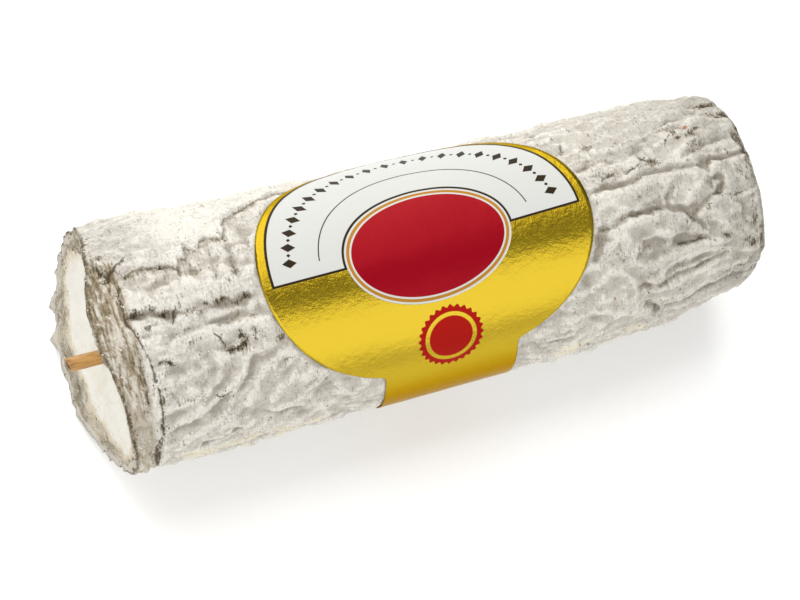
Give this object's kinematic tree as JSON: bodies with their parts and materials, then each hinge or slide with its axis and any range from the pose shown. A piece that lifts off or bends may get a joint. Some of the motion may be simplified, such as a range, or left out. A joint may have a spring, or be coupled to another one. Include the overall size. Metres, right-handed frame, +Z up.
{
  "type": "goat cheese log",
  "caption": "Ripened goat cheese log lying on its side, with a wrinkled grey-white rind, a straw along its centre and a gold foil label wrapped over the middle.",
  "frame": {"origin": "centre of the bounding box at the underside, on the surface that the log lies on", "axes": "+X along the log toward its small end, +Y to the back, +Z up"},
  "size_m": [0.149, 0.0516, 0.0504],
  "materials": {
    "cheese_log": "matt, chalky grey-white mould rind over white paste",
    "straw": "satin dry straw",
    "label": "satin gold foil with printed white, red and black fields"
  },
  "bodies": {
    "root": {"cheese_log": "cheese_log", "straw": "straw", "label": "label"}
  },
  "joints": []
}
